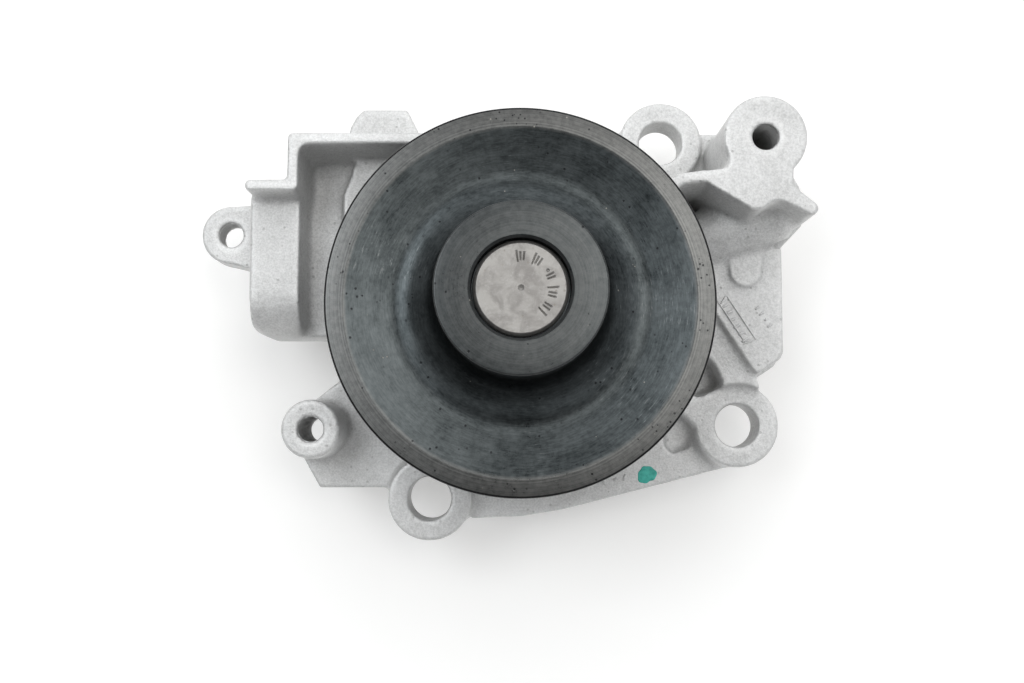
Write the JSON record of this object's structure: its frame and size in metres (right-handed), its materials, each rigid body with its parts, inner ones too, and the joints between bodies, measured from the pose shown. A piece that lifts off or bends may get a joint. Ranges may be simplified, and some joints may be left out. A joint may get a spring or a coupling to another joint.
{
  "type": "water pump",
  "caption": "Engine coolant pump: die-cast body with mounting ears and coolant chambers, sealed shaft bearing, smooth belt pulley and curved-vane impeller.",
  "frame": {"origin": "on the pump axis at the mounting face of the body", "axes": "+Z along the pump axis towards the pulley, +X from the side ear towards the right ear along the body's length, +Y towards the upper ear and tall boss"},
  "size_m": [0.1262, 0.0908, 0.0805],
  "materials": {
    "cast_aluminium": "as-cast, fine grain",
    "black_steel": "black oxide, turned",
    "shaft_steel": "ground",
    "bearing_steel": "polished",
    "pressed_steel": "pressed stainless",
    "spring_steel": "drawn wire",
    "gasket_rubber": "moulded",
    "seal_rubber": "moulded",
    "carbon": "lapped carbon graphite",
    "ceramic": "lapped ceramic",
    "impeller_plastic": "glass-filled plastic",
    "cage_plastic": "moulded nylon"
  },
  "bodies": {
    "body": {"housing": "cast_aluminium", "back_gasket": "gasket_rubber", "bearing_outer_ring": "bearing_steel", "front_bearing_seal": "seal_rubber", "rear_bearing_seal": "seal_rubber", "seal_cup": "pressed_steel", "seal_bellows": "seal_rubber", "seal_spring": "spring_steel", "seal_retainer": "pressed_steel", "carbon_face": "carbon"},
    "rotor": {"shaft": "shaft_steel", "pulley": "black_steel", "slinger": "pressed_steel", "impeller": "impeller_plastic", "impeller_hub": "shaft_steel", "ceramic_seat": "ceramic", "seat_boot": "seal_rubber"},
    "front_row": {"front_balls": "bearing_steel", "front_cage": "cage_plastic"},
    "rear_row": {"rear_balls": "bearing_steel", "rear_cage": "cage_plastic"}
  },
  "joints": [
    {"name": "shaft_spin", "type": "hinge", "parent": "body", "child": "rotor", "pos_m": [0, 0, 0.019], "axis": [0, 0, 1], "continuous": true},
    {"name": "front_row_spin", "type": "hinge", "parent": "body", "child": "front_row", "pos_m": [0, 0, 0.029], "axis": [0, 0, 1], "continuous": true},
    {"name": "rear_row_spin", "type": "hinge", "parent": "body", "child": "rear_row", "pos_m": [0, 0, 0.009], "axis": [0, 0, 1], "continuous": true}
  ],
  "couplings": [
    {"joint": "front_row_spin", "follows": "shaft_spin", "ratio": 0.3519},
    {"joint": "rear_row_spin", "follows": "shaft_spin", "ratio": 0.3519}
  ]
}
